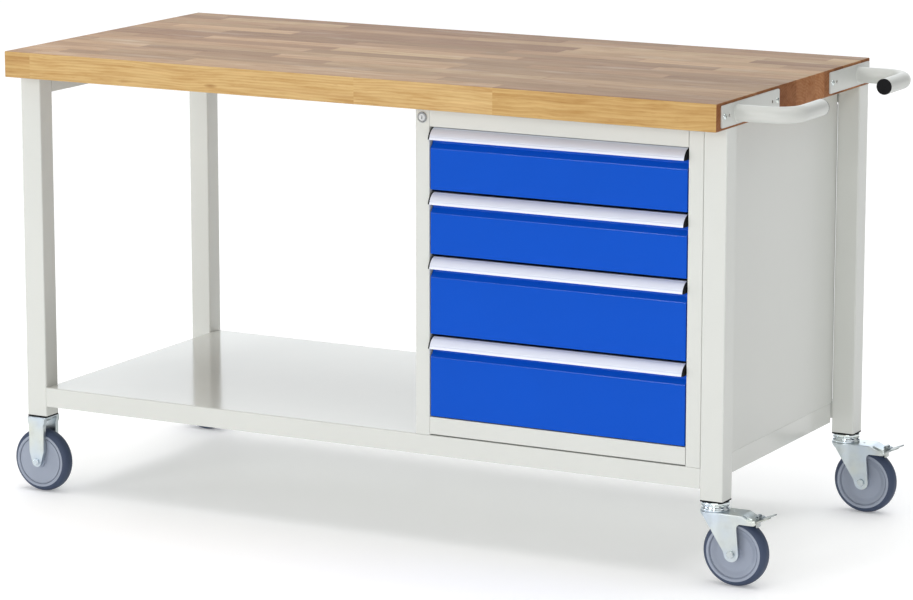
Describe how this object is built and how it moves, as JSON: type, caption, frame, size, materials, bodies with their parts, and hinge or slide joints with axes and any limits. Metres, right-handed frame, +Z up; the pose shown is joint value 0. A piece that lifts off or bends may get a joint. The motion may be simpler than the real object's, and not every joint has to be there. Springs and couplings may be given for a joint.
{
  "type": "workbench with drawers",
  "caption": "Mobile workbench: thick wooden top on a steel leg frame with a lower shelf, a lockable drawer cabinet at one end, push handles and braked swivel casters.",
  "frame": {"origin": "on the floor under the middle of the bench's bounding box, with the drawers shut and the swivel casters trailing to the right", "axes": "+X to the right along the worktop, towards the push handles; +Y from the drawer fronts to the back; +Z up"},
  "size_m": [1.661, 0.713, 0.88],
  "materials": {
    "wood": "oiled",
    "frame_paint": "satin light grey powder coat",
    "drawer_paint": "satin blue powder coat",
    "grip_metal": "satin anodised",
    "black_plastic": "matt",
    "zinc": "bright zinc plated",
    "rim_plastic": "matt grey",
    "tyre": "matt"
  },
  "bodies": {
    "frame": {"worktop": "wood", "leg_front_left": "frame_paint", "leg_rear_left": "frame_paint", "leg_front_right": "frame_paint", "leg_rear_right": "frame_paint", "leg_plugs": "black_plastic", "top_rails": "frame_paint", "lower_shelf": "frame_paint", "cabinet_left": "frame_paint", "cabinet_right": "frame_paint", "cabinet_back": "frame_paint", "cabinet_top": "frame_paint", "cabinet_floor": "frame_paint", "cabinet_slides": "zinc", "lock_housing": "zinc", "handle_front": "frame_paint", "handle_rear": "frame_paint", "handle_plugs": "black_plastic", "handle_screws": "zinc", "fixed_casters": "zinc", "swivel_heads": "zinc"},
    "lock_cylinder": {"lock_cylinder": "zinc"},
    "lock_bar": {"lock_bar": "zinc", "lock_hooks": "zinc"},
    "drawer_1": {"drawer_box_1": "frame_paint", "drawer_front_1": "drawer_paint", "drawer_grip_1": "grip_metal", "grip_caps_1": "black_plastic", "drawer_runners_1": "zinc"},
    "mid_slides_1": {"mid_slides_1": "zinc"},
    "drawer_2": {"drawer_box_2": "frame_paint", "drawer_front_2": "drawer_paint", "drawer_grip_2": "grip_metal", "grip_caps_2": "black_plastic", "drawer_runners_2": "zinc"},
    "mid_slides_2": {"mid_slides_2": "zinc"},
    "drawer_3": {"drawer_box_3": "frame_paint", "drawer_front_3": "drawer_paint", "drawer_grip_3": "grip_metal", "grip_caps_3": "black_plastic", "drawer_runners_3": "zinc"},
    "mid_slides_3": {"mid_slides_3": "zinc"},
    "drawer_4": {"drawer_box_4": "frame_paint", "drawer_front_4": "drawer_paint", "drawer_grip_4": "grip_metal", "grip_caps_4": "black_plastic", "drawer_runners_4": "zinc"},
    "mid_slides_4": {"mid_slides_4": "zinc"},
    "swivel_front": {"swivel_fork_front": "zinc"},
    "pedal_front": {"brake_pedal_front": "zinc"},
    "wheel_front_left": {"wheel_core_front_left": "rim_plastic", "tyre_front_left": "tyre"},
    "wheel_front_right": {"wheel_core_front_right": "rim_plastic", "tyre_front_right": "tyre"},
    "swivel_rear": {"swivel_fork_rear": "zinc"},
    "pedal_rear": {"brake_pedal_rear": "zinc"},
    "wheel_rear_left": {"wheel_core_rear_left": "rim_plastic", "tyre_rear_left": "tyre"},
    "wheel_rear_right": {"wheel_core_rear_right": "rim_plastic", "tyre_rear_right": "tyre"}
  },
  "joints": [
    {"name": "lock_turn", "type": "hinge", "parent": "frame", "child": "lock_cylinder", "pos_m": [0.097, -0.2985, 0.808], "axis": [0, -1, 0], "range_deg": [0, 94]},
    {"name": "lock_bar_lift", "type": "slide", "parent": "frame", "child": "lock_bar", "axis": [0, 0, 1], "range_m": [0, 0.008]},
    {"name": "drawer_1_slide", "type": "slide", "parent": "frame", "child": "drawer_1", "axis": [0, -1, 0], "range_m": [0, 0.56]},
    {"name": "mid_1_slide", "type": "slide", "parent": "frame", "child": "mid_slides_1", "axis": [0, -1, 0], "range_m": [0, 0.281]},
    {"name": "drawer_2_slide", "type": "slide", "parent": "frame", "child": "drawer_2", "axis": [0, -1, 0], "range_m": [0, 0.56]},
    {"name": "mid_2_slide", "type": "slide", "parent": "frame", "child": "mid_slides_2", "axis": [0, -1, 0], "range_m": [0, 0.281]},
    {"name": "drawer_3_slide", "type": "slide", "parent": "frame", "child": "drawer_3", "axis": [0, -1, 0], "range_m": [0, 0.56]},
    {"name": "mid_3_slide", "type": "slide", "parent": "frame", "child": "mid_slides_3", "axis": [0, -1, 0], "range_m": [0, 0.281]},
    {"name": "drawer_4_slide", "type": "slide", "parent": "frame", "child": "drawer_4", "axis": [0, -1, 0], "range_m": [0, 0.56]},
    {"name": "mid_4_slide", "type": "slide", "parent": "frame", "child": "mid_slides_4", "axis": [0, -1, 0], "range_m": [0, 0.281]},
    {"name": "swivel_front_turn", "type": "hinge", "parent": "frame", "child": "swivel_front", "pos_m": [0.685, -0.2855, 0.14], "axis": [0, 0, 1], "continuous": true},
    {"name": "pedal_front_tip", "type": "hinge", "parent": "swivel_front", "child": "pedal_front", "pos_m": [0.769, -0.2855, 0.1245], "axis": [0, 1, 0], "range_deg": [0, 15]},
    {"name": "wheel_front_left_roll", "type": "hinge", "parent": "frame", "child": "wheel_front_left", "pos_m": [-0.768, -0.2855, 0.0625], "axis": [0, 1, 0], "continuous": true},
    {"name": "wheel_front_right_roll", "type": "hinge", "parent": "swivel_front", "child": "wheel_front_right", "pos_m": [0.727, -0.2855, 0.0625], "axis": [0, 1, 0], "continuous": true},
    {"name": "swivel_rear_turn", "type": "hinge", "parent": "frame", "child": "swivel_rear", "pos_m": [0.685, 0.3225, 0.14], "axis": [0, 0, 1], "continuous": true},
    {"name": "pedal_rear_tip", "type": "hinge", "parent": "swivel_rear", "child": "pedal_rear", "pos_m": [0.769, 0.3225, 0.1245], "axis": [0, 1, 0], "range_deg": [0, 15]},
    {"name": "wheel_rear_left_roll", "type": "hinge", "parent": "frame", "child": "wheel_rear_left", "pos_m": [-0.768, 0.3225, 0.0625], "axis": [0, 1, 0], "continuous": true},
    {"name": "wheel_rear_right_roll", "type": "hinge", "parent": "swivel_rear", "child": "wheel_rear_right", "pos_m": [0.727, 0.3225, 0.0625], "axis": [0, 1, 0], "continuous": true}
  ],
  "couplings": [
    {"joint": "lock_turn", "follows": "lock_bar_lift", "rad_per_m": 196.35},
    {"joint": "mid_1_slide", "follows": "drawer_1_slide", "ratio": 0.5},
    {"joint": "mid_2_slide", "follows": "drawer_2_slide", "ratio": 0.5},
    {"joint": "mid_3_slide", "follows": "drawer_3_slide", "ratio": 0.5},
    {"joint": "mid_4_slide", "follows": "drawer_4_slide", "ratio": 0.5}
  ]
}
